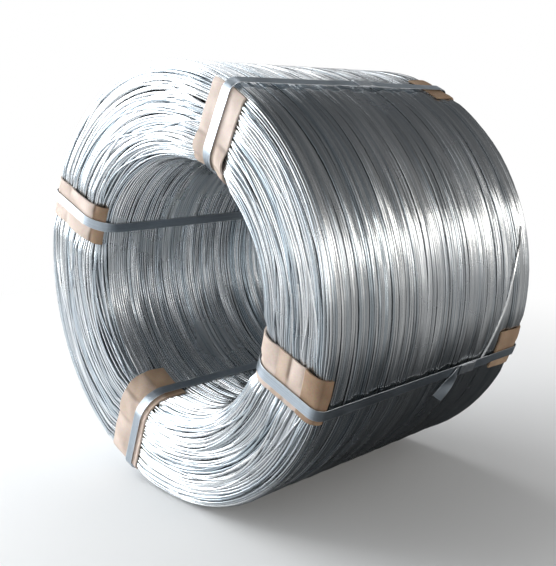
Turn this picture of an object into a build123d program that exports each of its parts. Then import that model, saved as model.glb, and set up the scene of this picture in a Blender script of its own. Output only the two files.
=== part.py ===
"""Coil of galvanized wire lying on its side, held by four steel straps over card pads.

The bore runs along Y, the front end faces -Y, and Z = 0 is the floor under the coil.
A "height" below is a distance above the wire surface, measured outwards from the winding.
"""

from build123d import *

import os
from math import atan2, cos, degrees, pi, sin

# Coil, in millimetres
OUTER_DIAMETER = 670.0
BORE_DIAMETER = 385.0
COIL_LENGTH = 475.0
WIRE_DIAMETER = 4.0
TURN_RELIEF = 1.3  # depth of the valley between two turns on an end
BORE_LIP_RADIUS = 42.0  # rounding where an end turns into the bore
OUTER_LIP_RADIUS = 14.0  # rounding where an end turns into the outside
# Turns side by side in each bundle along the outside, from the back end, and the valley between two bundles
BUNDLE_TURNS = (10, 12, 11, 13, 9, 12, 10, 9, 11, 7, 8)
BUNDLE_RELIEF = 2.5

# Straps, in millimetres and degrees from +X towards +Z
STRAP_WIDTH = 16.0
STRAP_THICKNESS = 0.8
STRAP_LAP = 110.0  # length over which the strap's two ends lie on each other
STRAP_ANGLES = (63.0, 158.0, 250.0, 339.0)

# Seals that clamp the strap ends, in millimetres
SEAL_LENGTH = 38.0
SEAL_THICKNESS = 1.0
SEAL_PLACE_SHARES = (0.06, 0.14, 0.10, 0.19)  # of the coil's length, from its middle towards the back end

# Card pads under the straps, in millimetres
PAD_WIDTH = 66.0
PAD_THICKNESS = 3.0
# How far each pad reaches past the flat of its end, round the lip and on along the wall, and how far it sits
# off its strap as a share of the pad's width
FRONT_OUTER_REACHES = (9.0, 30.0, 16.0, 24.5)
FRONT_BORE_REACHES = (48.0, 42.0, 98.0, 51.0)
FRONT_SHIFT_SHARES = (-0.02, 0.0, -0.25, 0.24)
BACK_OUTER_REACHES = (60.0, 52.0, 56.0, 73.0)
BACK_BORE_REACHES = (52.0, 58.0, 76.0, 46.0)
BACK_SHIFT_SHARES = (0.06, -0.08, 0.10, 0.13)

# Fits, in millimetres
SEAT_GAP = 0.15  # between pieces that lie on each other
CUT_OVERRUN = 2.0  # how far a cutting shape runs past what it cuts

OUTER_RADIUS = OUTER_DIAMETER / 2
BORE_RADIUS = BORE_DIAMETER / 2
HALF_LENGTH = COIL_LENGTH / 2

PAD_HEIGHT = SEAT_GAP
STRAP_HEIGHT = PAD_HEIGHT + PAD_THICKNESS + SEAT_GAP
STRAP_TOP = STRAP_HEIGHT + STRAP_THICKNESS
# In the bore the pads and straps are drawn into the winding until the straps are flush with it
BED_RADIUS = BORE_RADIUS + STRAP_TOP
BED_FLOOR = SEAT_GAP / 2  # height of the pocket's floor, below the pad


def end_turn(distance):
    """Point and outward normal on the back end, a given way along it from the bore to the outside."""
    bore_lip = BORE_LIP_RADIUS * pi / 2
    flat = OUTER_RADIUS - OUTER_LIP_RADIUS - BORE_RADIUS - BORE_LIP_RADIUS
    if distance < bore_lip:
        angle = distance / BORE_LIP_RADIUS
        normal = Vector(-cos(angle), sin(angle))
        centre = Vector(BORE_RADIUS + BORE_LIP_RADIUS, HALF_LENGTH - BORE_LIP_RADIUS)
        return centre + normal * BORE_LIP_RADIUS, normal
    if distance < bore_lip + flat:
        reach = distance - bore_lip
        return Vector(BORE_RADIUS + BORE_LIP_RADIUS + reach, HALF_LENGTH), Vector(0, 1)
    angle = (distance - bore_lip - flat) / OUTER_LIP_RADIUS
    normal = Vector(sin(angle), cos(angle))
    centre = Vector(OUTER_RADIUS - OUTER_LIP_RADIUS, HALF_LENGTH - OUTER_LIP_RADIUS)
    return centre + normal * OUTER_LIP_RADIUS, normal


def back_end_edges():
    """The back end's edges from the bore to the outside: one rounded bead for each turn of wire."""
    flat = OUTER_RADIUS - OUTER_LIP_RADIUS - BORE_RADIUS - BORE_LIP_RADIUS
    whole = (BORE_LIP_RADIUS + OUTER_LIP_RADIUS) * pi / 2 + flat
    count = round(whole / WIRE_DIAMETER)
    pitch = whole / count
    valleys = []
    for i in range(count + 1):
        point, normal = end_turn(i * pitch)
        valleys.append(point - normal * TURN_RELIEF)
    crests = [end_turn(i * pitch + pitch / 2)[0] for i in range(count)]
    edges = [ThreePointArc(valleys[i], crests[i], valleys[i + 1]) for i in range(count)]
    inner_step = Line(end_turn(0)[0], valleys[0])
    outer_step = Line(valleys[-1], outside_edges()[0] @ 0)
    return [inner_step, *edges, outer_step]


def outside_edges():
    """The outside's edges from the back end to the front end: one shallow swell for each bundle of turns."""
    pitch = (COIL_LENGTH - 2 * OUTER_LIP_RADIUS) / sum(BUNDLE_TURNS)
    valley = OUTER_RADIUS - BUNDLE_RELIEF
    start = HALF_LENGTH - OUTER_LIP_RADIUS
    edges = []
    for turns in BUNDLE_TURNS:
        stop = start - turns * pitch
        edges.append(ThreePointArc((valley, start), (OUTER_RADIUS, (start + stop) / 2), (valley, stop)))
        start = stop
    return edges


def end_path(height, bore_reach, outer_reach):
    """Edges round the back end at a height above the wire, reaching past its flat into the bore and outside."""
    bore_turn = min(bore_reach / BORE_LIP_RADIUS, pi / 2)
    outer_turn = min(outer_reach / OUTER_LIP_RADIUS, pi / 2)
    bore_flap = bore_reach - BORE_LIP_RADIUS * pi / 2
    outer_flap = outer_reach - OUTER_LIP_RADIUS * pi / 2
    lip = BORE_LIP_RADIUS + height
    rim = OUTER_LIP_RADIUS + height
    lip_centre = Vector(BED_RADIUS + BORE_LIP_RADIUS, HALF_LENGTH - BORE_LIP_RADIUS)
    rim_centre = Vector(OUTER_RADIUS - OUTER_LIP_RADIUS, HALF_LENGTH - OUTER_LIP_RADIUS)
    lip_top = lip_centre + Vector(0, lip)
    rim_top = rim_centre + Vector(0, rim)
    lip_stop = lip_centre + Vector(-sin(bore_turn), cos(bore_turn)) * lip
    rim_stop = rim_centre + Vector(sin(outer_turn), cos(outer_turn)) * rim
    edges = [
        TangentArc(lip_stop, lip_top, tangent=(cos(bore_turn), sin(bore_turn))),
        Line(lip_top, rim_top),
        TangentArc(rim_top, rim_stop, tangent=(1, 0)),
    ]
    if bore_flap > 0:
        edges.insert(0, Line(lip_stop - Vector(0, bore_flap), lip_stop))
    if outer_flap > 0:
        edges.append(Line(rim_stop, rim_stop - Vector(0, outer_flap)))
    return edges


def end_section(low, high, bore_reach, outer_reach):
    """Section between two heights of a strip bent round the back end."""
    inner = end_path(low, bore_reach, outer_reach)
    outer = end_path(high, bore_reach, outer_reach)
    bore_edge = Line(inner[0] @ 0, outer[0] @ 0)
    outer_edge = Line(inner[-1] @ 1, outer[-1] @ 1)
    return make_face([*inner, *outer, bore_edge, outer_edge])


def loop_section(height):
    """Closed section of the whole strap loop at one height above the wire."""
    bore_run = BORE_LIP_RADIUS * pi / 2 + HALF_LENGTH - BORE_LIP_RADIUS
    outer_run = OUTER_LIP_RADIUS * pi / 2 + HALF_LENGTH - OUTER_LIP_RADIUS
    back = end_path(height, bore_run, outer_run)
    front = [mirror(edge, Plane.XZ) for edge in back]
    return make_face([*back, *front])


def box_section(low, high, start, stop):
    """Section of a straight strip on the outside, between two heights and two places along the bore."""
    centre = (OUTER_RADIUS + (low + high) / 2, (start + stop) / 2)
    return Pos(*centre) * Rectangle(high - low, stop - start)


def bend_strip(section, width, shift=0.0):
    """Turns a section about the bore and keeps a parallel strip of it, centred on the XY plane or shifted off it."""
    half_turn = degrees(atan2(width / 2 + abs(shift) + CUT_OVERRUN, BORE_RADIUS - CUT_OVERRUN))
    turned = Rot(0, -half_turn, 0) * revolve(section, Axis.Y, 2 * half_turn)
    reach = OUTER_RADIUS + STRAP_TOP + SEAL_LENGTH
    slab = Pos(reach / 2, 0, shift) * Box(reach, 2 * (HALF_LENGTH + STRAP_TOP + SEAL_LENGTH), width)
    return slab & turned


def place(piece, angle):
    """Turns a piece from +X to its strap's angle and lifts the coil's axis to its height over the floor."""
    return Pos(0, 0, OUTER_RADIUS) * Rot(0, -angle, 0) * piece


def card_pad(bore_reach, outer_reach, shift_share):
    """One pad, bent round the back end under a strap."""
    section = end_section(PAD_HEIGHT, PAD_HEIGHT + PAD_THICKNESS, bore_reach, outer_reach)
    return bend_strip(section, PAD_WIDTH, shift_share * PAD_WIDTH)


def pad_pocket(bore_reach, outer_reach, shift_share):
    """The room that a pad takes in the bore's lip and wall."""
    section = end_section(BED_FLOOR, STRAP_TOP + CUT_OVERRUN, bore_reach + SEAT_GAP, outer_reach)
    return bend_strip(section, PAD_WIDTH + 2 * SEAT_GAP, shift_share * PAD_WIDTH)


def strap_channel():
    """The room that a strap takes in the bore's lips and wall."""
    section = loop_section(STRAP_TOP + CUT_OVERRUN) - loop_section(STRAP_HEIGHT - SEAT_GAP)
    return bend_strip(section, STRAP_WIDTH + 2 * SEAT_GAP)


def steel_strap(seal_place):
    """Closed strap with its two ends lapped on the outside, under the seal."""
    loop = bend_strip(loop_section(STRAP_TOP) - loop_section(STRAP_HEIGHT), STRAP_WIDTH)
    lap_top = STRAP_TOP + STRAP_THICKNESS
    lap = box_section(STRAP_TOP, lap_top, seal_place - STRAP_LAP / 2, seal_place + STRAP_LAP / 2)
    return loop + bend_strip(lap, STRAP_WIDTH)


def strap_seal(seal_place):
    """Sleeve round both layers of the strap where they lap."""
    start = seal_place - SEAL_LENGTH / 2
    stop = seal_place + SEAL_LENGTH / 2
    low = STRAP_HEIGHT - SEAT_GAP
    high = STRAP_TOP + STRAP_THICKNESS + SEAT_GAP
    inner_width = STRAP_WIDTH + 2 * SEAT_GAP
    shell = box_section(low - SEAL_THICKNESS, high + SEAL_THICKNESS, start, stop)
    room = box_section(low, high, start - CUT_OVERRUN, stop + CUT_OVERRUN)
    return bend_strip(shell, inner_width + 2 * SEAL_THICKNESS) - bend_strip(room, inner_width)


def wire_coil(pockets):
    """The winding as one turned solid: turns on its ends, bundles outside, room for pads and straps in the bore."""
    back = back_end_edges()
    front = [mirror(edge, Plane.XZ) for edge in back]
    bore_wall = Line(front[0] @ 0, back[0] @ 0)
    turned = revolve(make_face([bore_wall, *back, *outside_edges(), *front]), Axis.Y)
    return Pos(0, 0, OUTER_RADIUS) * turned - pockets


def write(piece, name):
    export_step(piece, f"parts/{name}.step")


def main():
    os.makedirs("parts", exist_ok=True)
    pockets = []
    for i, angle in enumerate(STRAP_ANGLES):
        front = (FRONT_BORE_REACHES[i], FRONT_OUTER_REACHES[i], FRONT_SHIFT_SHARES[i])
        back = (BACK_BORE_REACHES[i], BACK_OUTER_REACHES[i], BACK_SHIFT_SHARES[i])
        seal_place = SEAL_PLACE_SHARES[i] * COIL_LENGTH
        write(place(mirror(card_pad(*front), Plane.XZ), angle), f"front_card_pad_{i + 1}")
        write(place(card_pad(*back), angle), f"back_card_pad_{i + 1}")
        write(place(steel_strap(seal_place), angle), f"steel_strap_{i + 1}")
        write(place(strap_seal(seal_place), angle), f"strap_seal_{i + 1}")
        pockets += [
            place(mirror(pad_pocket(*front), Plane.XZ), angle),
            place(pad_pocket(*back), angle),
            place(strap_channel(), angle),
        ]
    write(wire_coil(pockets), "wire_coil")


main()
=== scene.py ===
"""Strapped coil of galvanized wire on its side: every visible turn, the straps, seals and card pads."""

from math import pi, radians

import bpy
import numpy as np
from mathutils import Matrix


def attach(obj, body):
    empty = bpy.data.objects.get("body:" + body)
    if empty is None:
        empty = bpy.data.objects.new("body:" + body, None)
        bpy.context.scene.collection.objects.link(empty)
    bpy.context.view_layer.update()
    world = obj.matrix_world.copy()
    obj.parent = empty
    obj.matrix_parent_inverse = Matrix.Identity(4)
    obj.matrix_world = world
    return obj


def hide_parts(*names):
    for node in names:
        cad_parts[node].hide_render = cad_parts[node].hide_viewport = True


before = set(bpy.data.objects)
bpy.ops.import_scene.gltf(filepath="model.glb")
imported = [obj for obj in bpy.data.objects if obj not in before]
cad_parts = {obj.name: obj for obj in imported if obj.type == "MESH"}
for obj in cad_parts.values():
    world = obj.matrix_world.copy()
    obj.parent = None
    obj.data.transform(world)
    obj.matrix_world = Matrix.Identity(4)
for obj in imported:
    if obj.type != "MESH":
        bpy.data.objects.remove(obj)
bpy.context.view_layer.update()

# The coil, in metres
OUTER_RADIUS = 0.335
BORE_RADIUS = 0.1925
HALF_LENGTH = 0.2375
AXIS_HEIGHT = OUTER_RADIUS
WIRE_RADIUS = 0.002
BORE_LIP = 0.042
OUTER_LIP = 0.014
BED_DEPTH = 0.0041  # how deep pads and straps are let into the bore's wall
BED_RADIUS = BORE_RADIUS + BED_DEPTH
END_SWELL = 0.0022  # how far the ends swell between the pads
STRAY_MARGIN = 0.02  # how far strays on an end keep from its edges
WANDER_ROOM = (0.002, 0.020)  # distances from the edges of a stretch over which turns begin to wander
CORE_DEPTH = 0.0115  # from the winding's skin to the mass behind the turns that show, painted dark as shade
FRONT, BACK = -1, 1
# Bundles of turns on the outside, from the back end, and how far the wire dips between them
BUNDLE_TURNS = np.array([10, 12, 11, 13, 9, 12, 10, 9, 11, 7, 8])
BUNDLE_RELIEF = 0.0025
BUNDLE_EASE = 0.012  # the stretch at each end over which the dips begin

# Straps and seals
STRAP_ANGLES = np.radians([63.0, 158.0, 250.0, 339.0])
STRAP_WIDTH = 0.016
STRAP_THICKNESS = 0.0008
STRAP_HEIGHT = 0.0033  # of a strap's underside above the wire
STRAP_EDGE = 0.0002  # bevel along the cut edges
STRAP_WOBBLE = 0.00012  # how far a strap lifts here and there, and how far it strays sideways
STRAP_SWAY = 0.0006
STRAP_LAP = 0.110
LAP_GAP = 0.00006
LAP_RISE = np.array([0.004, 0.016])  # the over-end climbs between these distances ahead of the under-end
SEAL_PLACES = (0.0285, 0.0665, 0.0475, 0.09025)
SEAL_LENGTH = 0.038
SEAL_THICKNESS = 0.0009
SEAL_EDGE = 0.00015
SEAL_SIDE_ROOM = 0.00025
SEAL_TOP_ROOM = 0.0002
CRIMP_PLACE = 0.0095  # of a crimp from the seal's middle, and half its length
CRIMP_HALF = 0.0026
CRIMP_PINCH = 0.11  # how far a crimp draws the edge in, as a share, and how far it lifts it
CRIMP_LIFT = 0.0007
# The strap with a free end past its seal, the length of that end, and how far it turns down, lifts and twists
LOOSE_STRAP = 3
LOOSE_LENGTH = 0.058
LOOSE_TURN = radians(60)
LOOSE_LIFT = 0.0030
LOOSE_TWIST = radians(-40)

# Card pads
PAD_WIDTH = 0.066
PAD_THICKNESS = 0.003
PAD_HEIGHT = 0.00015
PAD_EDGE = 0.0004
PAD_COLUMNS = 29
FREE_CARD = np.array([0.002, 0.016])  # distances from a strap's edge over which the card comes free
CARD_PUFF = (0.0014, 0.0034)  # least and most that a panel puffs up, and the outermost panel's own
OUTER_PUFF = 0.0006
CARD_RIPPLE = 0.0005
CARD_LIFT = 0.0003
RIM_FOLD = 0.009  # every pad's fold over the rim, counted back from its outer reach, and how dark its painted shade is
RIM_FOLD_SHADE = 0.4
FOLD_MARGIN = 0.006  # a fold nearer than this to a pad's end is left out
FOLD_WIDTH = 0.0030
# Each pad's reach past the flat of its end into the bore and outside, and its offset from its strap
PADS = {
    FRONT: [(0.048, 0.009, -0.0013), (0.042, 0.030, 0.0), (0.098, 0.016, -0.0165), (0.051, 0.0245, 0.0158)],
    BACK: [(0.052, 0.060, 0.0040), (0.058, 0.052, -0.0053), (0.076, 0.056, 0.0066), (0.046, 0.073, 0.0086)],
}
# Each pad's folds across its strap: places from the start of the bore lip towards the bore, and how dark their
# painted shade is
FOLDS = {
    FRONT: [
        ((-0.012, 0.5), (0.022, 0.3)),
        ((-0.050, 0.3), (0.020, 1.0)),
        ((-0.020, 0.3), (0.022, 0.6), (0.060, 0.4)),
        ((-0.060, 0.25), (-0.034, 1.0), (-0.010, 0.35)),
    ],
    BACK: [
        ((-0.040, 0.5), (0.016, 0.8)),
        ((-0.062, 0.3), (0.010, 0.9), (0.030, 0.4)),
        ((-0.012, 0.8), (0.040, 0.4)),
        ((-0.050, 0.4), (0.020, 0.8)),
    ],
}
# How pale the panels of each front pad are, from the outside to the bore: partly scuffing, partly painted
# highlight on lit panels and painted shade on shaded ones
SCUFF_AND_LIGHT_TONES = [
    (1.0, 0.85, 0.7),
    (0.5, 0.9, 0.95, 0.2),
    (0.9, 0.85, 0.75, 0.55, 0.30),
    (0.0, 0.15, 0.85, 0.6, 0.9),
]

# How far the bore's wires give way under a strap and under a pad, and how far other wires do under a pad
STRAP_SINK = 0.0011
PAD_SINK = 0.0043
COVERED_DROP = 0.0012
# Distances over which the wire rises back, from a strap's middle and from a pad's sides and ends
STRAP_PRESS = (0.010, 0.024)
PAD_SIDE_PRESS = np.array([0.001, 0.022])
PAD_END_PRESS = np.array([0.003, 0.014])

# The camera's focal length and the photograph's longer side in pixels, and its sensor in millimetres
FOCAL_LENGTH = 850.0
PHOTO_LONG_SIDE = 566
SENSOR = 36
# Its place in metres, and its dip and turn in degrees
CAMERA_PLACE = (1.0128, -0.9835, 0.5840)
CAMERA_DIP = 10.883
CAMERA_TURN = 45.929
# The studio
RIGHT_SIDE = (0.86, 0.50, 0)  # towards the right of the photograph, where the studio is dimmer
BACKDROP = (1.0, 1.0, 1.0)
BLACK = (0.0, 0.0, 0.0)

# The winding's skin, unrolled: up the bore wall, over the back end, down the outside and over the front end
FLAT = OUTER_RADIUS - OUTER_LIP - BORE_RADIUS - BORE_LIP
BORE_RUN = 2 * (HALF_LENGTH - BORE_LIP)
OUTER_RUN = 2 * (HALF_LENGTH - OUTER_LIP)
END_RUN = (BORE_LIP + OUTER_LIP) * pi / 2 + FLAT
BACK_START = BORE_RUN
OUTER_START = BACK_START + END_RUN
FRONT_START = OUTER_START + OUTER_RUN
BUNDLE_EDGES = OUTER_START + OUTER_RUN * np.append(0, np.cumsum(BUNDLE_TURNS)) / BUNDLE_TURNS.sum()


def end_skin(distance):
    """Radius, place along the bore and outward normal on the back end, from the bore to the outside."""
    bore_turn = np.clip(distance / BORE_LIP, 0, pi / 2)
    outer_turn = np.clip((distance - BORE_LIP * pi / 2 - FLAT) / OUTER_LIP, 0, pi / 2)
    across = np.clip(distance - BORE_LIP * pi / 2, 0, FLAT)
    radius = BORE_RADIUS + BORE_LIP * (1 - np.cos(bore_turn)) + across + OUTER_LIP * np.sin(outer_turn)
    along = HALF_LENGTH - BORE_LIP * (1 - np.sin(bore_turn)) - OUTER_LIP * (1 - np.cos(outer_turn))
    normal_radius = np.sin(outer_turn) - np.cos(bore_turn)
    normal_along = np.sin(bore_turn) * np.cos(outer_turn)
    return radius, along, normal_radius, normal_along


def bundle_dip(place):
    """How far the outside dips between two bundles of turns, level with the lips at both ends."""
    number = np.clip(np.searchsorted(BUNDLE_EDGES, place, side="right") - 1, 0, len(BUNDLE_TURNS) - 1)
    share = (place - BUNDLE_EDGES[number]) / (BUNDLE_EDGES[number + 1] - BUNDLE_EDGES[number])
    room = np.minimum(place - OUTER_START, FRONT_START - place)
    return BUNDLE_RELIEF * (0.5 + 0.5 * np.cos(2 * pi * share)) * fade(-room, -BUNDLE_EASE, 0)


def skin(place):
    """Radius, place along the bore and outward normal anywhere on the winding's skin."""
    back = end_skin(np.clip(place - BACK_START, 0, END_RUN))
    front = end_skin(np.clip(FRONT_START + END_RUN - place, 0, END_RUN))
    on_bore = place < BACK_START
    on_outside = (place >= OUTER_START) & (place < FRONT_START)
    on_front = place >= FRONT_START
    radius = np.where(on_front, front[0], back[0]) - np.where(on_outside, bundle_dip(place), 0)
    along = np.where(on_front, -front[1], back[1])
    along = np.where(on_bore, place - BORE_RUN / 2, along)
    along = np.where(on_outside, OUTER_RUN / 2 - (place - OUTER_START), along)
    normal_radius = np.where(on_front, front[2], back[2])
    normal_along = np.where(on_front, -front[3], back[3])
    return radius, along, normal_radius, normal_along


def fade(distance, near, far):
    """1 up to near, 0 from far on, and smooth between."""
    share = np.clip((far - distance) / (far - near), 0, 1)
    return share * share * (3 - 2 * share)


def pressed(angles, place, radius, normal_radius):
    """How much pads cover a point of the skin, and how deep pads and straps bed into the bore there."""
    covered = np.zeros(np.broadcast(angles, place).shape)
    bedded = np.zeros_like(covered)
    facing_bore = np.clip(-normal_radius, 0, 1)
    past_lip = {
        BACK: place - BACK_START - BORE_LIP * pi / 2,
        FRONT: np.where(place < BORE_RUN / 2, -place, FRONT_START + END_RUN - place) - BORE_LIP * pi / 2,
    }
    for number, strap_angle in enumerate(STRAP_ANGLES):
        ahead = np.cos(angles - strap_angle) > 0
        aside = radius * np.sin(angles - strap_angle)
        under_strap = ahead * fade(np.abs(aside), *STRAP_PRESS)
        bedded = np.maximum(bedded, STRAP_SINK * under_strap * facing_bore)
        for end in (FRONT, BACK):
            bore_reach, outer_reach, offset = PADS[end][number]
            middle, half = (FLAT + outer_reach - bore_reach) / 2, (FLAT + outer_reach + bore_reach) / 2
            under_pad = ahead * fade(np.abs(aside - offset), *(PAD_WIDTH / 2 + PAD_SIDE_PRESS))
            under_pad = under_pad * fade(np.abs(past_lip[end] - middle), *(half + PAD_END_PRESS))
            covered = np.maximum(covered, under_pad)
            bedded = np.maximum(bedded, PAD_SINK * under_pad * facing_bore)
    return covered, bedded


def turn_angles(near_count, far_count):
    """Angles along one turn, closer together where pads and straps press the wire in."""
    near = radians(15)
    nexts = np.append(STRAP_ANGLES[1:], STRAP_ANGLES[0] + 2 * pi)
    runs = []
    for here, there in zip(STRAP_ANGLES, nexts):
        runs.append(np.linspace(here - near, here + near, near_count, endpoint=False))
        runs.append(np.linspace(here + near, there - near, far_count, endpoint=False))
    return np.concatenate(runs)


def waves(rng, count, angles, lowest, highest):
    """One smooth closed wave for each turn, of about unit size."""
    total = np.zeros((count, len(angles)))
    for order in range(lowest, highest + 1):
        phase = rng.uniform(0, 2 * pi, (count, 1))
        total += rng.normal(0, 1, (count, 1)) * np.cos(order * angles + phase) / order**0.5
    return total / np.sqrt(sum(0.5 / order for order in range(lowest, highest + 1)))


def drift(rng, places, angles):
    """A wave that neighbouring turns share, so that they bunch and open together."""
    total = np.zeros((len(places), len(angles)))
    for order in (1, 2, 3, 4, 5, 7):
        lean = rng.uniform(40, 150) * rng.choice([-1, 1])
        total += np.cos(order * angles + lean * places + rng.uniform(0, 2 * pi)) / order**0.5
    return total / 1.2


def deselect():
    bpy.ops.object.select_all(action="DESELECT")


def mark_points(piece, label, values):
    """Stores a value at each point of a piece, for its material to read."""
    mark = piece.data.attributes.new(label, "FLOAT", "POINT")
    mark.data.foreach_set("value", values.astype(np.float32).ravel())


def wire_ring(segments, sides):
    """Faces of one closed turn of wire, modelled as a ring."""
    deselect()
    bpy.ops.mesh.primitive_torus_add(
        major_segments=segments, minor_segments=sides, major_radius=OUTER_RADIUS, minor_radius=WIRE_RADIUS
    )
    ring = bpy.context.object
    faces = np.array([face.vertices[:] for face in ring.data.polygons])
    mesh = ring.data
    bpy.data.objects.remove(ring)
    bpy.data.meshes.remove(mesh)
    return faces


def lay_turns(name, layers, angles, sides, kink=1.0):
    """Joins copies of one ring, each bent to its own turn.

    A layer holds the radius, place along the bore, tint and strand of its turns.
    """
    radius, along, tint, strand = (np.concatenate(values) for values in zip(*layers))
    count = len(radius)
    around = np.arange(sides) * 2 * pi / sides
    tube_radius = radius[:, :, None] + WIRE_RADIUS * np.cos(around)
    tube_along = along[:, :, None] - WIRE_RADIUS * np.sin(around)
    points = np.stack(
        [
            tube_radius * np.cos(angles)[None, :, None],
            tube_along,
            AXIS_HEIGHT + tube_radius * np.sin(angles)[None, :, None],
        ],
        axis=-1,
    ).reshape(-1, 3)
    ring = wire_ring(len(angles), sides)
    ring_points = len(angles) * sides
    faces = (ring[None] + (np.arange(count) * ring_points)[:, None, None]).reshape(-1, 4)
    mesh = bpy.data.meshes.new(name)
    mesh.from_pydata(points.tolist(), [], faces.tolist())
    mesh.polygons.foreach_set("use_smooth", np.ones(len(faces), bool))
    piece = bpy.data.objects.new(name, mesh)
    bpy.context.collection.objects.link(piece)
    mark_points(piece, "turn_tint", np.repeat(tint, ring_points))
    mark_points(piece, "turn_strand", np.repeat(strand, ring_points))
    mark_points(piece, "turn_kink", np.full(count * ring_points, kink))
    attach(piece, "root")
    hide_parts("wire_coil")
    return piece


def layer(
    rng, start, stop, angles, pitch, depth, shared, own, rough, rise=0.0, missing=0.0, tints=(0, 1), single=0.85
):
    """Turns laid side by side over a stretch of the skin.

    They wander together by shared and singly by own, and dip by rough. Turns of one strand share their kinks,
    and single is the chance that a turn starts a strand of its own.
    """
    count = int(round((stop - start) / pitch))
    places = start + (np.arange(count) + 0.5) * (stop - start) / count
    places = places[rng.uniform(0, 1, count) >= missing][:, None]
    count = len(places)
    wander = shared * drift(rng, places, angles) + own * waves(rng, count, angles, 1, 6)
    room = np.minimum(places - start, stop - places)
    wander = wander * fade(-room, -WANDER_ROOM[1], -WANDER_ROOM[0])
    moved = np.clip(places + wander, start, stop)
    radius, along, normal_radius, normal_along = skin(moved)
    covered, bedded = pressed(angles, moved, radius, normal_radius)
    facing_bore = np.clip(-normal_radius, 0, 1)
    height = -WIRE_RADIUS - depth - rough * np.abs(waves(rng, count, angles, 1, 9))
    height = height + (END_SWELL * np.abs(normal_along) + rise) * (1 - covered) - bedded
    height = height - COVERED_DROP * covered * (1 - facing_bore)
    # A tint leans on its neighbour's, and is then spread out again
    tint = rng.uniform(0, 1, count + 1)
    tint = np.clip(0.5 + 1.2 * ((tint[1:] + 0.5 * tint[:-1]) / 1.5 - 0.5), 0, 1)
    tint = tints[0] + (tints[1] - tints[0]) * tint
    strand = rng.uniform(0, 40, count)[np.cumsum(rng.uniform(0, 1, count) < single) - 1]
    return radius + normal_radius * height, along + normal_along * height, tint, strand


def wind_coil():
    """All turns that show, stretch by stretch."""
    rng = np.random.default_rng(41)
    fine = turn_angles(13, 13)
    coarse = turn_angles(9, 9)
    pieces = []
    for name, start in (("front_end_turns", FRONT_START), ("back_end_turns", BACK_START)):
        stop = start + END_RUN
        top = layer(
            rng, start, stop, fine,
            pitch=0.0042, depth=0, shared=0.0020, own=0.0014, rough=0.0006, missing=0.04,
        )
        strays = layer(
            rng, start + STRAY_MARGIN, stop - STRAY_MARGIN, fine,
            pitch=0.0110, depth=0, shared=0.003, own=0.0066, rough=0.0004, rise=0.0012,
        )
        pieces.append(lay_turns(name, [top, strays], fine, sides=6))
        under = layer(
            rng, start, stop, coarse,
            pitch=0.0045, depth=0.0028, shared=0.0020, own=0.0020, rough=0.0004,
        )
        deep = layer(
            rng, start, stop, coarse,
            pitch=0.0050, depth=0.0058, shared=0.0020, own=0.0020, rough=0.0006,
        )
        pieces.append(lay_turns(name.replace("turns", "under_turns"), [under, deep], coarse, sides=5))
    top = layer(
        rng, OUTER_START, FRONT_START, fine,
        pitch=0.0041, depth=0.0004, shared=0.0010, own=0.0006, rough=0.0005, tints=(0.15, 0.9),
    )
    pieces.append(lay_turns("outer_turns", [top], fine, sides=6))
    under = layer(
        rng, OUTER_START, FRONT_START, coarse,
        pitch=0.0044, depth=0.0038, shared=0.0010, own=0.0008, rough=0.0004,
    )
    pieces.append(lay_turns("outer_under_turns", [under], coarse, sides=5))
    # The bore's turns and those under them take only the darker, bluer tints: painted shade inside the bore
    top = layer(
        rng, 0, BACK_START, fine,
        pitch=0.0041, depth=0, shared=0.0008, own=0.0006, rough=0.0003, tints=(0.0, 0.75), single=0.6,
    )
    pieces.append(lay_turns("bore_turns", [top], fine, sides=6, kink=1.8))
    under = layer(
        rng, 0, BACK_START, coarse,
        pitch=0.0044, depth=0.0034, shared=0.0008, own=0.0008, rough=0.0004, tints=(0.0, 0.62),
    )
    pieces.append(lay_turns("bore_under_turns", [under], coarse, sides=5))
    return pieces


def winding_core():
    """The mass of wire behind the turns that show, painted dark as the shade between them: a profile spun about
    the bore.
    """
    end_places = np.linspace(0, END_RUN, 15)
    places = np.concatenate(
        [
            [0.0, BORE_RUN],
            BACK_START + end_places[1:],
            [FRONT_START],
            FRONT_START + end_places[1:-1],
        ]
    )
    radius, along, normal_radius, normal_along = skin(places)
    deselect()
    bpy.ops.mesh.primitive_circle_add(vertices=len(places), radius=OUTER_RADIUS)
    core = bpy.context.object
    core.name = "winding_core"
    core_radius = radius - CORE_DEPTH * normal_radius
    core_along = along - CORE_DEPTH * normal_along
    section = np.stack([core_radius, core_along, np.zeros_like(radius)], axis=1)
    core.data.vertices.foreach_set("co", section.astype(np.float32).ravel())
    bpy.ops.object.mode_set(mode="EDIT")
    bpy.ops.mesh.select_all(action="SELECT")
    bpy.ops.mesh.spin(steps=96, angle=2 * pi, center=(0, 0, 0), axis=(0, 1, 0))
    bpy.ops.mesh.select_all(action="SELECT")
    bpy.ops.mesh.remove_doubles(threshold=1e-5)
    bpy.ops.mesh.normals_make_consistent(inside=False)
    bpy.ops.transform.translate(value=(0, 0, AXIS_HEIGHT))
    bpy.ops.object.mode_set(mode="OBJECT")
    bpy.ops.object.shade_smooth()
    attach(core, "root")
    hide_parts("wire_coil")
    return core


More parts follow.
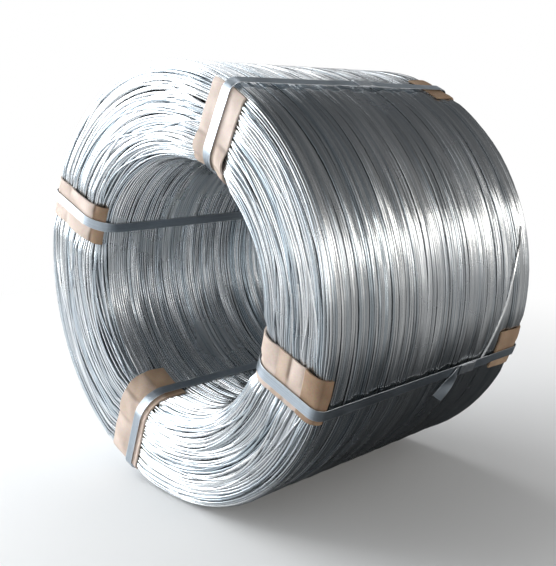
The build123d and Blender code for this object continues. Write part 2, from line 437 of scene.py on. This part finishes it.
def strip_path(height, bore_reach, outer_reach, step):
    """Points round the back end at a height above the wire, from a reach outside to a reach in the bore."""
    lip, rim, end = BORE_LIP + height, OUTER_LIP + height, HALF_LENGTH + height
    lip_arc, rim_arc = BORE_LIP * pi / 2, OUTER_LIP * pi / 2
    on_rim, on_lip = min(outer_reach, rim_arc), min(bore_reach, lip_arc)
    rim_turn = np.linspace(on_rim / OUTER_LIP, 0, int(on_rim / step) + 4)
    lip_turn = np.linspace(0, on_lip / BORE_LIP, int(on_lip / step) + 4)
    face = np.linspace(OUTER_RADIUS - OUTER_LIP, BED_RADIUS + BORE_LIP, int(FLAT / step))[1:-1]
    radius = [
        OUTER_RADIUS - OUTER_LIP + rim * np.sin(rim_turn),
        face,
        BED_RADIUS + BORE_LIP - lip * np.sin(lip_turn),
    ]
    along = [
        HALF_LENGTH - OUTER_LIP + rim * np.cos(rim_turn),
        np.full_like(face, end),
        HALF_LENGTH - BORE_LIP + lip * np.cos(lip_turn),
    ]
    if outer_reach > rim_arc:
        outside = np.linspace(outer_reach - rim_arc, 0, int((outer_reach - rim_arc) / step) + 2)[:-1]
        radius.insert(0, np.full_like(outside, OUTER_RADIUS + height))
        along.insert(0, HALF_LENGTH - OUTER_LIP - outside)
    if bore_reach > lip_arc:
        bore = np.linspace(0, bore_reach - lip_arc, int((bore_reach - lip_arc) / step) + 2)[1:]
        radius.append(np.full_like(bore, BED_RADIUS - height))
        along.append(HALF_LENGTH - BORE_LIP - bore)
    return np.concatenate(radius), np.concatenate(along)


def path_normals(radius, along):
    """Normals of a path, to the left of its course, and the distance run along it."""
    run = np.stack([np.gradient(radius), np.gradient(along)])
    run = run / np.linalg.norm(run, axis=0)
    distance = np.concatenate([[0], np.cumsum(np.hypot(np.diff(radius), np.diff(along)))])
    return -run[1], run[0], distance


def bend_sheet(name, radius, along, aside, strap_angle, closed=False):
    """A flat grid bent so that each row follows the path and each column crosses the strip."""
    rows, columns = radius.shape
    deselect()
    bpy.ops.mesh.primitive_grid_add(x_subdivisions=columns - 1, y_subdivisions=rows - 1, size=1)
    sheet = bpy.context.object
    sheet.name = name
    out = np.sqrt(radius**2 - aside**2)
    turn, lean = np.cos(strap_angle), np.sin(strap_angle)
    points = np.stack([out * turn - aside * lean, along, AXIS_HEIGHT + out * lean + aside * turn], axis=-1)
    sheet.data.vertices.foreach_set("co", points.astype(np.float32).ravel())
    if closed:
        bpy.ops.object.mode_set(mode="EDIT")
        bpy.ops.mesh.select_all(action="SELECT")
        bpy.ops.mesh.remove_doubles(threshold=1e-6)
        bpy.ops.object.mode_set(mode="OBJECT")
    bpy.ops.object.shade_smooth()
    return sheet


def finish_sheet(sheet, thickness, bevel):
    """Gives a sheet its thickness and softens its cut edges."""
    bpy.context.view_layer.objects.active = sheet
    solid = sheet.modifiers.new("thickness", "SOLIDIFY")
    solid.thickness = thickness
    solid.offset = 1
    solid.use_rim = True
    bpy.ops.object.modifier_apply(modifier="thickness")
    edge = sheet.modifiers.new("cut_edge", "BEVEL")
    edge.width = bevel
    edge.segments = 1
    edge.angle_limit = radians(50)
    bpy.ops.object.modifier_apply(modifier="cut_edge")
    bpy.ops.object.shade_smooth_by_angle(angle=radians(35))


def card_pad(end, number, rng):
    """A pad folded over the rim: panels that puff up beside the strap, between creases."""
    bore_reach, outer_reach, offset = PADS[end][number]
    radius, along = strip_path(PAD_HEIGHT, bore_reach, outer_reach, step=0.0025)
    normal_radius, normal_along, distance = path_normals(radius, along)
    normal_radius, normal_along = -normal_radius, -normal_along
    whole = distance[-1]
    lip = outer_reach + OUTER_RADIUS - OUTER_LIP - BED_RADIUS - BORE_LIP
    folds = [(outer_reach - RIM_FOLD, RIM_FOLD_SHADE)]
    folds += [(lip + place, fold_darkness) for place, fold_darkness in FOLDS[end][number]]
    folds = [fold for fold in folds if FOLD_MARGIN < fold[0] < whole - FOLD_MARGIN]
    creases = np.array([0] + [place for place, _ in folds] + [whole])
    aside = np.linspace(offset - PAD_WIDTH / 2, offset + PAD_WIDTH / 2, PAD_COLUMNS)
    free = 1 - fade(np.abs(aside), *(STRAP_WIDTH / 2 + FREE_CARD))
    panel = np.clip(np.searchsorted(creases, distance, side="right") - 1, 0, len(creases) - 2)
    share = (distance - creases[panel]) / (creases[panel + 1] - creases[panel])
    puff = rng.uniform(*CARD_PUFF, len(creases) - 1)
    puff[0] = OUTER_PUFF
    swell = (puff[panel] * np.sin(pi * np.clip(share, 0, 1)) ** 0.6)[:, None] * free[None, :]
    tone = np.array(SCUFF_AND_LIGHT_TONES[number]) if end == FRONT else rng.uniform(0, 0.35, len(creases) - 1)
    tone = tone[panel]
    ripple = distance[:, None] * rng.uniform(90, 160) + aside[None, :] * rng.uniform(60, 140)
    height = swell + CARD_RIPPLE * np.sin(ripple) * free[None, :] + CARD_LIFT * free[None, :]
    sheet_radius = radius[:, None] + normal_radius[:, None] * height
    sheet_along = end * (along[:, None] + normal_along[:, None] * height)
    aside_grid = np.broadcast_to(aside, sheet_radius.shape)
    if end == FRONT:
        sheet_radius, sheet_along, aside_grid = sheet_radius[::-1], sheet_along[::-1], aside_grid[::-1]
        distance, tone = distance[::-1], tone[::-1]
    side = "front" if end == FRONT else "back"
    name = f"{side}_kraft_pad_{number + 1}"
    pad = bend_sheet(name, sheet_radius, sheet_along, aside_grid, STRAP_ANGLES[number])
    # Painted shade along each fold, stronger where the card is free of the strap
    fold = np.max([fold_darkness * np.exp(-(((distance - place) / FOLD_WIDTH) ** 2)) for place, fold_darkness in folds], axis=0)
    fold = np.broadcast_to(fold[:, None], aside_grid.shape) * (0.35 + 0.65 * free[None, :])
    mark_points(pad, "crease_shade", fold)
    mark_points(pad, "panel_tone", np.broadcast_to(tone[:, None], aside_grid.shape))
    finish_sheet(pad, PAD_THICKNESS, PAD_EDGE)
    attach(pad, "root")
    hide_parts(f"{side}_card_pad_{number + 1}")
    return pad


def hang_end(past, radius, along, aside):
    """Turns a strap down and twists it past its seal, where past is each row's distance from the seal."""
    past = past[:, None]
    turn = LOOSE_TURN * (1 - fade(past, 0, 0.018))
    lift = LOOSE_LIFT * (1 - fade(past, 0, 0.016))
    twist = LOOSE_TWIST * (1 - fade(past, 0.006, 0.042))
    step = np.diff(past, axis=0, prepend=0)
    down = np.cumsum(np.sin(turn) * step, axis=0)
    short = past - np.cumsum(np.cos(turn) * step, axis=0)
    level = aside * np.cos(twist)
    hung_radius = radius + lift + aside * np.sin(twist)
    hung_along = along - short + level * np.sin(turn)
    return hung_radius, hung_along, level * np.cos(turn) - down


def steel_strap(number, rng):
    """An open strap with its over-end lapped on its under-end, pulled tight over the pads."""
    loose = number == LOOSE_STRAP
    seal = -SEAL_PLACES[number] if loose else SEAL_PLACES[number]
    start = seal - STRAP_LAP / 2
    stop = seal + (SEAL_LENGTH / 2 + LOOSE_LENGTH if loose else STRAP_LAP / 2)
    bore_half = BORE_LIP * pi / 2 + HALF_LENGTH - BORE_LIP
    outer_half = OUTER_LIP * pi / 2 + HALF_LENGTH - OUTER_LIP
    step = 0.002 if loose else 0.004
    back = strip_path(STRAP_HEIGHT, bore_half, outer_half - start, step)
    front = strip_path(STRAP_HEIGHT, bore_half, outer_half + stop, step)
    radius = np.concatenate([back[0], front[0][::-1][1:]])
    along = np.concatenate([back[1], -front[1][::-1][1:]])
    inward_radius, inward_along, distance = path_normals(radius, along)
    over = np.where(distance > distance[-1] / 2, fade(-along, *(-start + LAP_RISE)), 0)
    over = np.where(radius > OUTER_RADIUS, over, 0)
    wobble = np.sin(distance * 23 + rng.uniform(0, 6)), np.sin(distance * 61 + rng.uniform(0, 6))
    height = (STRAP_THICKNESS + LAP_GAP) * over + np.abs(STRAP_WOBBLE * wobble[0] * wobble[1])
    across = np.array([-1, -0.8, 0, 0.8, 1])
    aside = across * STRAP_WIDTH / 2 + STRAP_SWAY * np.sin(distance * 4.8 + rng.uniform(0, 6))[:, None]
    sheet_radius = np.broadcast_to((radius - inward_radius * height)[:, None], aside.shape)
    sheet_along = np.broadcast_to((along - inward_along * height)[:, None], aside.shape)
    run = np.broadcast_to(distance[:, None], aside.shape)
    if loose:
        # This lap is worked out the other way round, and then turned about
        past = np.where(over > 0, np.clip(along - seal - SEAL_LENGTH / 2, 0, None), 0)
        sheet_radius, sheet_along, aside = hang_end(past, sheet_radius, sheet_along, aside)
        sheet_radius, sheet_along = sheet_radius[::-1], -sheet_along[::-1]
        aside, run = aside[::-1], run[::-1]
    strap = bend_sheet(f"strap_band_{number + 1}", sheet_radius, sheet_along, aside, STRAP_ANGLES[number])
    mark_points(strap, "strap_run", run)
    mark_points(strap, "strap_across", np.broadcast_to(across, aside.shape))
    finish_sheet(strap, STRAP_THICKNESS, STRAP_EDGE)
    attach(strap, "root")
    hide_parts(f"steel_strap_{number + 1}")
    return strap


def strap_seal(number):
    """A clip folded round both strap ends and crimped twice along each edge."""
    half_width, half_height = STRAP_WIDTH / 2 + SEAL_SIDE_ROOM, STRAP_THICKNESS + SEAL_TOP_ROOM
    turn = np.linspace(0, 2 * pi, 41)
    side = np.sign(np.cos(turn)) * np.abs(np.cos(turn)) ** 0.18 * half_width
    rise = np.sign(np.sin(turn)) * np.abs(np.sin(turn)) ** 0.30 * half_height
    along = np.linspace(-SEAL_LENGTH / 2, SEAL_LENGTH / 2, 39)
    crimp = np.exp(-(((np.abs(along) - CRIMP_PLACE) / CRIMP_HALF) ** 4))[:, None]
    edge = np.clip(np.abs(side) / half_width, 0, 1)[None, :] ** 6
    aside = side[None, :] * (1 - CRIMP_PINCH * crimp * edge)
    lift = rise[None, :] + CRIMP_LIFT * crimp * edge * np.sign(rise)[None, :]
    radius = OUTER_RADIUS + STRAP_HEIGHT + STRAP_THICKNESS + LAP_GAP / 2 + lift
    place = np.broadcast_to((along + SEAL_PLACES[number])[:, None], radius.shape)
    radius, place, aside = radius[:, ::-1], place[:, ::-1], aside[:, ::-1]
    seal = bend_sheet(f"crimped_seal_{number + 1}", radius, place, aside, STRAP_ANGLES[number], closed=True)
    bpy.ops.object.mode_set(mode="EDIT")
    bpy.ops.mesh.select_all(action="SELECT")
    bpy.ops.mesh.normals_make_consistent(inside=False)
    bpy.ops.object.mode_set(mode="OBJECT")
    finish_sheet(seal, SEAL_THICKNESS, SEAL_EDGE)
    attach(seal, "root")
    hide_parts(f"strap_seal_{number + 1}")
    return seal


def loose_tail():
    """The wire's outer end: it crosses the turns and tucks under a strap."""
    # Angle in degrees, place along the bore, and height of the wire's middle above the outer radius
    route = [
        (15.0, 0.2180, -0.0040),
        (11.5, 0.2093, -0.0012),
        (8.5, 0.1969, 0.0004),
        (2.1, 0.1800, 0.0006),
        (-4.4, 0.1705, 0.0006),
        (-9.9, 0.1569, 0.0006),
        (-15.1, 0.1443, 0.0006),
        (-19.2, 0.1360, 0.0004),
        (-21.8, 0.1290, 0.0002),
    ]
    course = bpy.data.curves.new("loose_tail", "CURVE")
    course.dimensions = "3D"
    spline = course.splines.new("NURBS")
    spline.points.add(len(route) - 1)
    for point, (angle, along, height) in zip(spline.points, route):
        reach = OUTER_RADIUS + height
        point.co = (reach * np.cos(radians(angle)), along, AXIS_HEIGHT + reach * np.sin(radians(angle)), 1)
    spline.order_u = 3
    spline.use_endpoint_u = True
    spline.resolution_u = 6
    course.bevel_depth = WIRE_RADIUS
    course.bevel_resolution = 2
    course.use_fill_caps = True
    tail = bpy.data.objects.new("loose_tail", course)
    bpy.context.collection.objects.link(tail)
    deselect()
    tail.select_set(True)
    bpy.context.view_layer.objects.active = tail
    bpy.ops.object.convert(target="MESH")
    tail = bpy.context.object
    bpy.ops.object.shade_smooth_by_angle(angle=radians(40))
    for label, value in (("turn_tint", 0.85), ("turn_strand", 3.0), ("turn_kink", 0.5)):
        mark_points(tail, label, np.full(len(tail.data.vertices), value))
    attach(tail, "root")
    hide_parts("wire_coil")
    return tail


def place_lights_and_camera():
    """A pale floor, soft lamps and the camera at the photograph's viewing angle."""
    deselect()
    bpy.ops.mesh.primitive_circle_add(vertices=64, radius=9, fill_type="NGON")
    floor = bpy.context.object
    floor.name = "studio_floor"
    floor.data.materials.append(floor_finish())
    camera = bpy.data.objects.new("photo_camera", bpy.data.cameras.new("photo_camera"))
    bpy.context.collection.objects.link(camera)
    camera.data.lens = SENSOR * FOCAL_LENGTH / PHOTO_LONG_SIDE
    camera.location = CAMERA_PLACE
    camera.rotation_euler = (radians(90 - CAMERA_DIP), 0, radians(CAMERA_TURN))
    bpy.context.scene.camera = camera
    # Name, place, aim, width, depth, power in watts and colour
    lamps = (
        ("left_softbox", (-2.5, -1.3, 1.5), (0, 0, 0.35), 2.8, 2.6, 132, (0.95, 0.98, 1.0)),
        ("top_left_softbox", (-1.5, 0.4, 2.3), (0, 0, 0.35), 1.6, 2.4, 24, (0.98, 0.99, 1.0)),
        ("front_softbox", (-1.8, -2.6, 0.75), (0, 0, 0.30), 4.2, 1.4, 34, (0.95, 0.98, 1.0)),
        ("right_window", (3.0, 0.0, 1.34), (0.2, 0, 0.45), 4.4, 0.62, 38, (1.0, 0.97, 0.92)),
    )
    for name, place, aim, width, depth, power, colour in lamps:
        lamp = bpy.data.lights.new(name, "AREA")
        lamp.shape = "RECTANGLE"
        lamp.size = width
        lamp.size_y = depth
        lamp.energy = power
        lamp.color = colour
        holder = bpy.data.objects.new(name, lamp)
        bpy.context.collection.objects.link(holder)
        holder.location = place
        holder.visible_camera = False
        course = np.array(aim) - np.array(place)
        holder.rotation_euler = (
            np.arctan2(np.hypot(course[0], course[1]), -course[2]),
            0,
            np.arctan2(-course[0], course[1]),
        )
    studio_walls()
    bpy.context.scene.view_settings.view_transform = "Standard"


def studio_walls():
    """A white backdrop, bright walls on the left and behind, a dimmer right one and a dark ceiling."""
    world = bpy.data.worlds.new("studio")
    bpy.context.scene.world = world
    world.use_nodes = True
    nodes, links = world.node_tree.nodes, world.node_tree.links
    course = nodes.new("ShaderNodeTexCoord")
    parts = nodes.new("ShaderNodeSeparateXYZ")
    links.new(course.outputs["Generated"], parts.inputs["Vector"])
    lift = nodes.new("ShaderNodeMapRange")
    lift.inputs["From Min"].default_value = -1
    links.new(parts.outputs["Z"], lift.inputs["Value"])
    left_stops = [
        (0.5, (1.15, 1.18, 1.20)),
        (0.63, (1.08, 1.11, 1.15)),
        (0.74, (0.14, 0.15, 0.16)),
        (1.0, (0.09, 0.095, 0.10)),
    ]
    right_stops = [
        (0.5, (0.70, 0.705, 0.70)),
        (0.53, (0.60, 0.60, 0.59)),
        (0.60, (0.20, 0.20, 0.198)),
        (1.0, (0.15, 0.152, 0.155)),
    ]
    left = ramp(nodes, links, lift.outputs["Result"], left_stops)
    right = ramp(nodes, links, lift.outputs["Result"], right_stops)
    side = smooth_share(nodes, links, rightward(nodes, links, course.outputs["Generated"]), 0.15, 0.70)
    walls = mix_colour(nodes, links, side, left, right)
    rays = nodes.new("ShaderNodeLightPath")
    seen = mix_colour(nodes, links, rays.outputs["Is Camera Ray"], walls, BACKDROP)
    links.new(seen, nodes["Background"].inputs["Color"])


def new_finish(name):
    finish = bpy.data.materials.new(name)
    finish.use_nodes = True
    return finish, finish.node_tree.nodes, finish.node_tree.links


def floor_finish():
    """Pale floor that melts into the backdrop by its own glow. In the metal it shows a painted reflection that
    gleams less further out and on the right, and a painted glow further out, though the floor is no lamp.
    """
    finish, nodes, links = new_finish("studio_floor")
    shader = nodes["Principled BSDF"]
    shader.inputs["Roughness"].default_value = 0.9
    shader.inputs["Specular IOR Level"].default_value = 0.0
    shader.inputs["Emission Strength"].default_value = 1.0
    rays = nodes.new("ShaderNodeLightPath")
    place = nodes.new("ShaderNodeTexCoord")
    reach = nodes.new("ShaderNodeVectorMath")
    reach.operation = "LENGTH"
    links.new(place.outputs["Object"], reach.inputs[0])
    melted = smooth_share(nodes, links, reach.outputs["Value"], 0.25, 1.7)
    distant = smooth_share(nodes, links, reach.outputs["Value"], 0.55, 1.15)
    right = smooth_share(nodes, links, rightward(nodes, links, place.outputs["Object"]), -0.15, 0.15)
    # Painted reflection: the tone glossy rays see, paler near the coil, darker further out and darkest on the
    # right
    painted_reflection = mix_colour(nodes, links, distant, (0.76, 0.77, 0.78), (0.34, 0.35, 0.365))
    painted_reflection = mix_colour(nodes, links, right, painted_reflection, (0.09, 0.095, 0.10))
    floor = mix_colour(nodes, links, melted, (0.80, 0.80, 0.80), BLACK)
    tone = mix_colour(nodes, links, rays.outputs["Is Glossy Ray"], floor, painted_reflection)
    links.new(tone, shader.inputs["Base Color"])
    glow = mix_colour(nodes, links, melted, BLACK, BACKDROP)
    # A glow further out that every ray but the camera's sees: painted light, though the floor is no lamp
    far = mix_colour(nodes, links, distant, BLACK, (0.31, 0.312, 0.312))
    shine = mix_colour(nodes, links, rays.outputs["Is Camera Ray"], far, glow)
    links.new(shine, shader.inputs["Emission Color"])
    return finish


def feed(links, value, socket):
    """Sets a socket to a number or a fixed colour, or links it to another socket."""
    if isinstance(value, (int, float)):
        socket.default_value = value
    elif isinstance(value, tuple):
        socket.default_value = (*value, 1)
    else:
        links.new(value, socket)


def ramp(nodes, links, share, stops):
    """Runs through the colours of its stops."""
    node = nodes.new("ShaderNodeValToRGB")
    node.color_ramp.elements[0].position = stops[0][0]
    node.color_ramp.elements[0].color = (*stops[0][1], 1)
    node.color_ramp.elements[1].position = stops[-1][0]
    node.color_ramp.elements[1].color = (*stops[-1][1], 1)
    for position, colour in stops[1:-1]:
        node.color_ramp.elements.new(position).color = (*colour, 1)
    links.new(share, node.inputs["Fac"])
    return node.outputs["Color"]


def mix_colour(nodes, links, share, first, second, blend="MIX"):
    """Mixes two colours; each is a socket or a fixed colour, and share is a socket or a number."""
    node = nodes.new("ShaderNodeMix")
    node.data_type = "RGBA"
    node.blend_type = blend
    for value, socket in ((share, node.inputs[0]), (first, node.inputs[6]), (second, node.inputs[7])):
        feed(links, value, socket)
    return node.outputs[2]


def between(nodes, links, value, low, high):
    """Brings a value that runs from 0 to 1 into the range from low to high."""
    node = nodes.new("ShaderNodeMapRange")
    node.inputs["To Min"].default_value = low
    node.inputs["To Max"].default_value = high
    links.new(value, node.inputs["Value"])
    return node.outputs["Result"]


def smooth_share(nodes, links, value, near, far):
    """Runs smoothly from 0 to 1 while a value goes from near to far."""
    node = nodes.new("ShaderNodeMapRange")
    node.interpolation_type = "SMOOTHSTEP"
    node.inputs["From Min"].default_value = near
    node.inputs["From Max"].default_value = far
    links.new(value, node.inputs["Value"])
    return node.outputs["Result"]


def rightward(nodes, links, place):
    """How far a place or a direction lies towards the right of the photograph."""
    node = nodes.new("ShaderNodeVectorMath")
    node.operation = "DOT_PRODUCT"
    node.inputs[1].default_value = RIGHT_SIDE
    links.new(place, node.inputs[0])
    return node.outputs["Value"]


def noise(nodes, links, place, scale, detail):
    """Cloudy noise over a place."""
    node = nodes.new("ShaderNodeTexNoise")
    node.inputs["Detail"].default_value = detail
    feed(links, scale, node.inputs["Scale"])
    links.new(place, node.inputs["Vector"])
    return node


def add_bump(nodes, links, height, distance, strength=1.0):
    """Raises a finish's fine relief."""
    bump = nodes.new("ShaderNodeBump")
    bump.inputs["Strength"].default_value = strength
    bump.inputs["Distance"].default_value = distance
    links.new(height, bump.inputs["Height"])
    links.new(bump.outputs["Normal"], nodes["Principled BSDF"].inputs["Normal"])


def attribute(nodes, name):
    node = nodes.new("ShaderNodeAttribute")
    node.attribute_name = name
    return node.outputs["Fac"]


def zinc_bloom():
    """Dull cloudy patches on zinc, as an effect that several finishes share."""
    group = bpy.data.node_groups.new("zinc_bloom", "ShaderNodeTree")
    group.interface.new_socket("Place", in_out="INPUT", socket_type="NodeSocketVector")
    group.interface.new_socket("Cloud Scale", in_out="INPUT", socket_type="NodeSocketFloat")
    group.interface.new_socket("Bloom", in_out="OUTPUT", socket_type="NodeSocketFloat")
    nodes, links = group.nodes, group.links
    given, put = nodes.new("NodeGroupInput"), nodes.new("NodeGroupOutput")
    cloud = noise(nodes, links, given.outputs["Place"], given.outputs["Cloud Scale"], 4)
    cloud.inputs["Roughness"].default_value = 0.6
    patch = nodes.new("ShaderNodeMapRange")
    patch.inputs["From Min"].default_value = 0.42
    patch.inputs["From Max"].default_value = 0.68
    links.new(cloud.outputs["Fac"], patch.inputs["Value"])
    links.new(patch.outputs["Result"], put.inputs["Bloom"])
    return group


def use_bloom(nodes, links, bloom, place, cloud_scale):
    """Places the zinc's patches in a finish, at their own scale."""
    node = nodes.new("ShaderNodeGroup")
    node.node_tree = bloom
    node.inputs["Cloud Scale"].default_value = cloud_scale
    links.new(place, node.inputs["Place"])
    return node.outputs["Bloom"]


def wire_finish(bloom):
    """Bright zinc, a little different on every turn and darker on the bore's turns as painted shade, with
    slight kinks along each one.
    """
    finish, nodes, links = new_finish("galvanized_wire")
    shader = nodes["Principled BSDF"]
    shader.inputs["Metallic"].default_value = 1.0
    place = nodes.new("ShaderNodeTexCoord").outputs["Object"]
    zinc = [(0.0, (0.40, 0.465, 0.51)), (0.5, (0.63, 0.645, 0.655)), (1.0, (0.84, 0.845, 0.845))]
    colour = ramp(nodes, links, attribute(nodes, "turn_tint"), zinc)
    patches = use_bloom(nodes, links, bloom, place, 7.0)
    dulled = mix_colour(nodes, links, between(nodes, links, patches, 0.0, 0.45), colour, (0.45, 0.48, 0.52))
    links.new(dulled, shader.inputs["Base Color"])
    links.new(between(nodes, links, patches, 0.20, 0.34), shader.inputs["Roughness"])
    kinks = noise(nodes, links, place, 7, 0.5)
    kinks.noise_dimensions = "4D"
    links.new(attribute(nodes, "turn_strand"), kinks.inputs["W"])
    rise = nodes.new("ShaderNodeMath")
    rise.operation = "MULTIPLY"
    links.new(kinks.outputs["Fac"], rise.inputs[0])
    links.new(attribute(nodes, "turn_kink"), rise.inputs[1])
    add_bump(nodes, links, rise.outputs["Value"], 0.018)
    return finish


def core_painted_shade(bloom):
    """Wire deep in the winding, painted near black as the shade between the turns that show."""
    finish, nodes, links = new_finish("winding_shade")
    shader = nodes["Principled BSDF"]
    shader.inputs["Metallic"].default_value = 0.5
    shader.inputs["Roughness"].default_value = 0.6
    place = nodes.new("ShaderNodeTexCoord").outputs["Object"]
    patches = use_bloom(nodes, links, bloom, place, 22.0)
    shade = mix_colour(nodes, links, patches, (0.012, 0.014, 0.017), (0.05, 0.055, 0.062))
    links.new(shade, shader.inputs["Base Color"])
    return finish


def strap_finish(name, bloom, dark, light, along_strap):
    """Zinc-grey strip steel with streaks, which on a strap run along it, between bright cut edges."""
    finish, nodes, links = new_finish(name)
    shader = nodes["Principled BSDF"]
    shader.inputs["Metallic"].default_value = 1.0
    place = nodes.new("ShaderNodeTexCoord").outputs["Object"]
    patches = use_bloom(nodes, links, bloom, place, 24.0)
    if along_strap:
        across = attribute(nodes, "strap_across")
        flat = nodes.new("ShaderNodeCombineXYZ")
        links.new(attribute(nodes, "strap_run"), flat.inputs["X"])
        links.new(across, flat.inputs["Y"])
        stretch = nodes.new("ShaderNodeMapping")
        stretch.inputs["Scale"].default_value = (5, 9, 1)
        links.new(flat.outputs["Vector"], stretch.inputs["Vector"])
        streaks = noise(nodes, links, stretch.outputs["Vector"], 1.0, 3)
    else:
        streaks = noise(nodes, links, place, 90.0, 3)
    colour = ramp(nodes, links, streaks.outputs["Fac"], [(0.32, dark), (0.68, light)])
    tone = mix_colour(nodes, links, between(nodes, links, patches, 0.0, 0.4), colour, (0.30, 0.34, 0.38))
    if along_strap:
        # Lighter towards both cut edges of the strap
        edge = nodes.new("ShaderNodeMath")
        edge.operation = "ABSOLUTE"
        links.new(across, edge.inputs[0])
        edge_band = nodes.new("ShaderNodeMapRange")
        edge_band.inputs["From Min"].default_value = 0.86
        links.new(edge.outputs["Value"], edge_band.inputs["Value"])
        bright = between(nodes, links, edge_band.outputs["Result"], 0.0, 0.6)
        tone = mix_colour(nodes, links, bright, tone, (0.78, 0.80, 0.82))
    links.new(tone, shader.inputs["Base Color"])
    links.new(between(nodes, links, patches, 0.30, 0.50), shader.inputs["Roughness"])
    add_bump(nodes, links, streaks.outputs["Fac"], 0.0004, 0.35)
    return finish


def card_finish():
    """Kraft card: mottled tan with fibres, with painted shade along its folds; its panels run from brown to
    pale, partly as scuffing and partly as painted light.
    """
    finish, nodes, links = new_finish("kraft_card")
    shader = nodes["Principled BSDF"]
    shader.inputs["Specular IOR Level"].default_value = 0.35
    place = nodes.new("ShaderNodeTexCoord").outputs["Object"]
    # On the front pads the dark brown end stands partly for painted shade and the pale pink end partly for
    # painted highlight
    tan_stops = [(0.0, (0.27, 0.175, 0.11)), (0.35, (0.44, 0.305, 0.205)), (1.0, (0.76, 0.64, 0.57))]
    tan = ramp(nodes, links, attribute(nodes, "panel_tone"), tan_stops)
    mottle = noise(nodes, links, place, 26, 5)
    stain_stops = [(0.30, (0.66, 0.62, 0.58)), (0.62, (1.0, 1.0, 1.0))]
    stains = ramp(nodes, links, mottle.outputs["Fac"], stain_stops)
    edge_band = mix_colour(nodes, links, 0.7, tan, stains, "MULTIPLY")
    fibres = noise(nodes, links, place, 420, 3)
    flecked = mix_colour(nodes, links, 0.35, edge_band, fibres.outputs["Color"], "SOFT_LIGHT")
    # Painted shade darkens the card along its folds
    crease_shade = between(nodes, links, attribute(nodes, "crease_shade"), 0.0, 0.9)
    crease_shaded = mix_colour(nodes, links, crease_shade, flecked, (0.09, 0.05, 0.03))
    links.new(crease_shaded, shader.inputs["Base Color"])
    links.new(between(nodes, links, fibres.outputs["Fac"], 0.55, 0.85), shader.inputs["Roughness"])
    add_bump(nodes, links, fibres.outputs["Fac"], 0.0006, 0.4)
    return finish


bloom = zinc_bloom()
wire = wire_finish(bloom)
for turns in wind_coil():
    turns.data.materials.append(wire)
loose_tail().data.materials.append(wire)
winding_core().data.materials.append(core_painted_shade(bloom))
card = card_finish()
pad_rng = np.random.default_rng(7)
for end in (FRONT, BACK):
    for number in range(len(STRAP_ANGLES)):
        card_pad(end, number, pad_rng).data.materials.append(card)
strap = strap_finish("strap_steel", bloom, (0.36, 0.41, 0.46), (0.55, 0.60, 0.65), along_strap=True)
clip = strap_finish("seal_steel", bloom, (0.60, 0.63, 0.67), (0.86, 0.88, 0.90), along_strap=False)
strap_rng = np.random.default_rng(19)
for number in range(len(STRAP_ANGLES)):
    steel_strap(number, strap_rng).data.materials.append(strap)
    strap_seal(number).data.materials.append(clip)
place_lights_and_camera()
